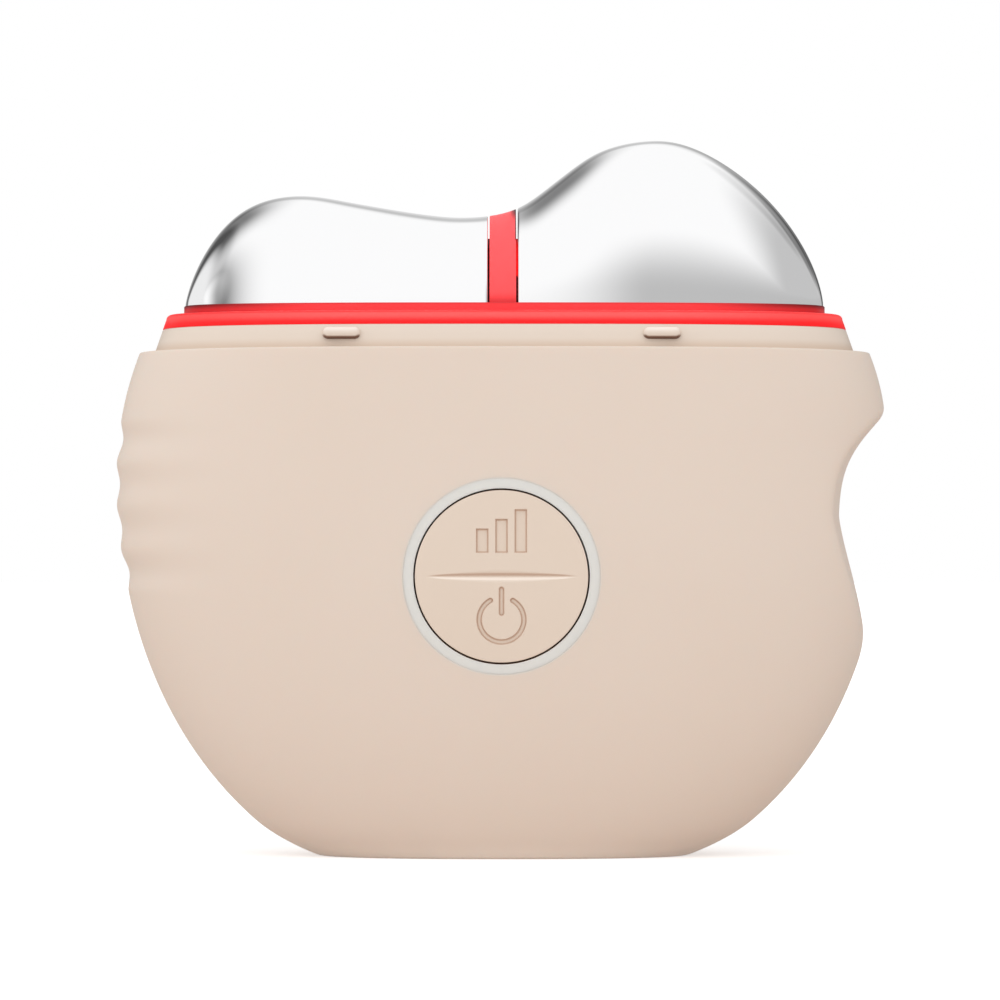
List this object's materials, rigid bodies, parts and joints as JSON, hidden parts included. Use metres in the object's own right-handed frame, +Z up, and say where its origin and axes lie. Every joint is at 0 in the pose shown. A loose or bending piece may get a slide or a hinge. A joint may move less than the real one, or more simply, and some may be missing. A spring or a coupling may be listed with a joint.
{
  "type": "facial toning device",
  "caption": "Palm-size facial toner: pebble body in a ridged silicone sleeve with a thumb notch, polished electrode lobes on a red light base, rocking button in a light ring",
  "frame": {"origin": "middle of the device's box, on the flat base", "axes": "+X across the face to the thumb notch, +Y from the button face to the back, +Z up to the electrodes"},
  "size_m": [0.082, 0.033, 0.0763],
  "materials": {
    "silicone_sleeve": "soft matte silicone, warm beige",
    "housing_plastic": "fine matte moulding, beige",
    "button_plastic": "fine matte moulding, beige",
    "red_plastic": "translucent red moulding",
    "polished_metal": "mirror polished",
    "ring_plastic": "milky light guide",
    "white_silicone": "translucent silicone",
    "grey_seal": "matte silicone",
    "screw_steel": "nickel plated",
    "socket_steel": "bright stamped",
    "lug_brass": "tinned brass",
    "board_white": "white solder mask",
    "board_green": "green solder mask",
    "led_lens": "clear lens on a white carrier",
    "black_plastic": "matte black",
    "ferrite": "sintered ferrite",
    "capacitor_ceramic": "fired ceramic",
    "frame_plastic": "matte moulding",
    "foam_tape": "foam tape",
    "cell_foil": "laminated foil",
    "lead_insulation": "satin insulation"
  },
  "bodies": {
    "body": {"grip_sleeve": "silicone_sleeve", "front_housing": "housing_plastic", "rear_housing": "housing_plastic", "housing_screws": "screw_steel", "light_base": "red_plastic", "head_seal": "grey_seal", "left_electrode": "polished_metal", "right_electrode": "polished_metal", "electrode_gaskets": "grey_seal", "electrode_screws": "screw_steel", "electrode_terminals": "lug_brass", "light_board": "board_white", "red_leds": "led_lens", "light_board_screws": "screw_steel", "light_ring": "ring_plastic", "pivot_pin": "screw_steel", "button_bracket": "frame_plastic", "bracket_screws": "screw_steel", "keypad_boot": "white_silicone", "level_switch": "socket_steel", "power_switch": "socket_steel", "main_board": "board_green", "board_screws": "screw_steel", "ring_leds": "led_lens", "control_chips": "black_plastic", "boost_coil": "ferrite", "capacitors": "capacitor_ceramic", "battery_plug": "frame_plastic", "charge_board": "board_green", "charge_screws": "screw_steel", "usb_shell": "socket_steel", "usb_tongue": "black_plastic", "port_seal": "grey_seal", "battery_tray": "frame_plastic", "tray_screws": "screw_steel", "battery_tape": "foam_tape", "battery_cell": "cell_foil", "battery_leads": "lead_insulation", "electrode_leads": "lead_insulation", "light_leads": "lead_insulation", "charge_leads": "lead_insulation"},
    "button": {"button_cap": "button_plastic"},
    "level_key": {"level_stem": "black_plastic"},
    "power_key": {"power_stem": "black_plastic"}
  },
  "joints": [
    {"name": "button_rock", "type": "hinge", "parent": "body", "child": "button", "pos_m": [0, -0.0132, 0.03003], "axis": [1, 0, 0], "range_deg": [-2.5, 2.5], "stiffness_Nm_per_rad": 0.18, "deforming": ["keypad_boot"]},
    {"name": "level_press", "type": "slide", "parent": "body", "child": "level_key", "axis": [0, 0.9969, 0.0785], "range_m": [0, 0.00025], "stiffness_N_per_m": 6400},
    {"name": "power_press", "type": "slide", "parent": "body", "child": "power_key", "axis": [0, 0.9969, 0.0785], "range_m": [0, 0.00025], "stiffness_N_per_m": 6400}
  ]
}
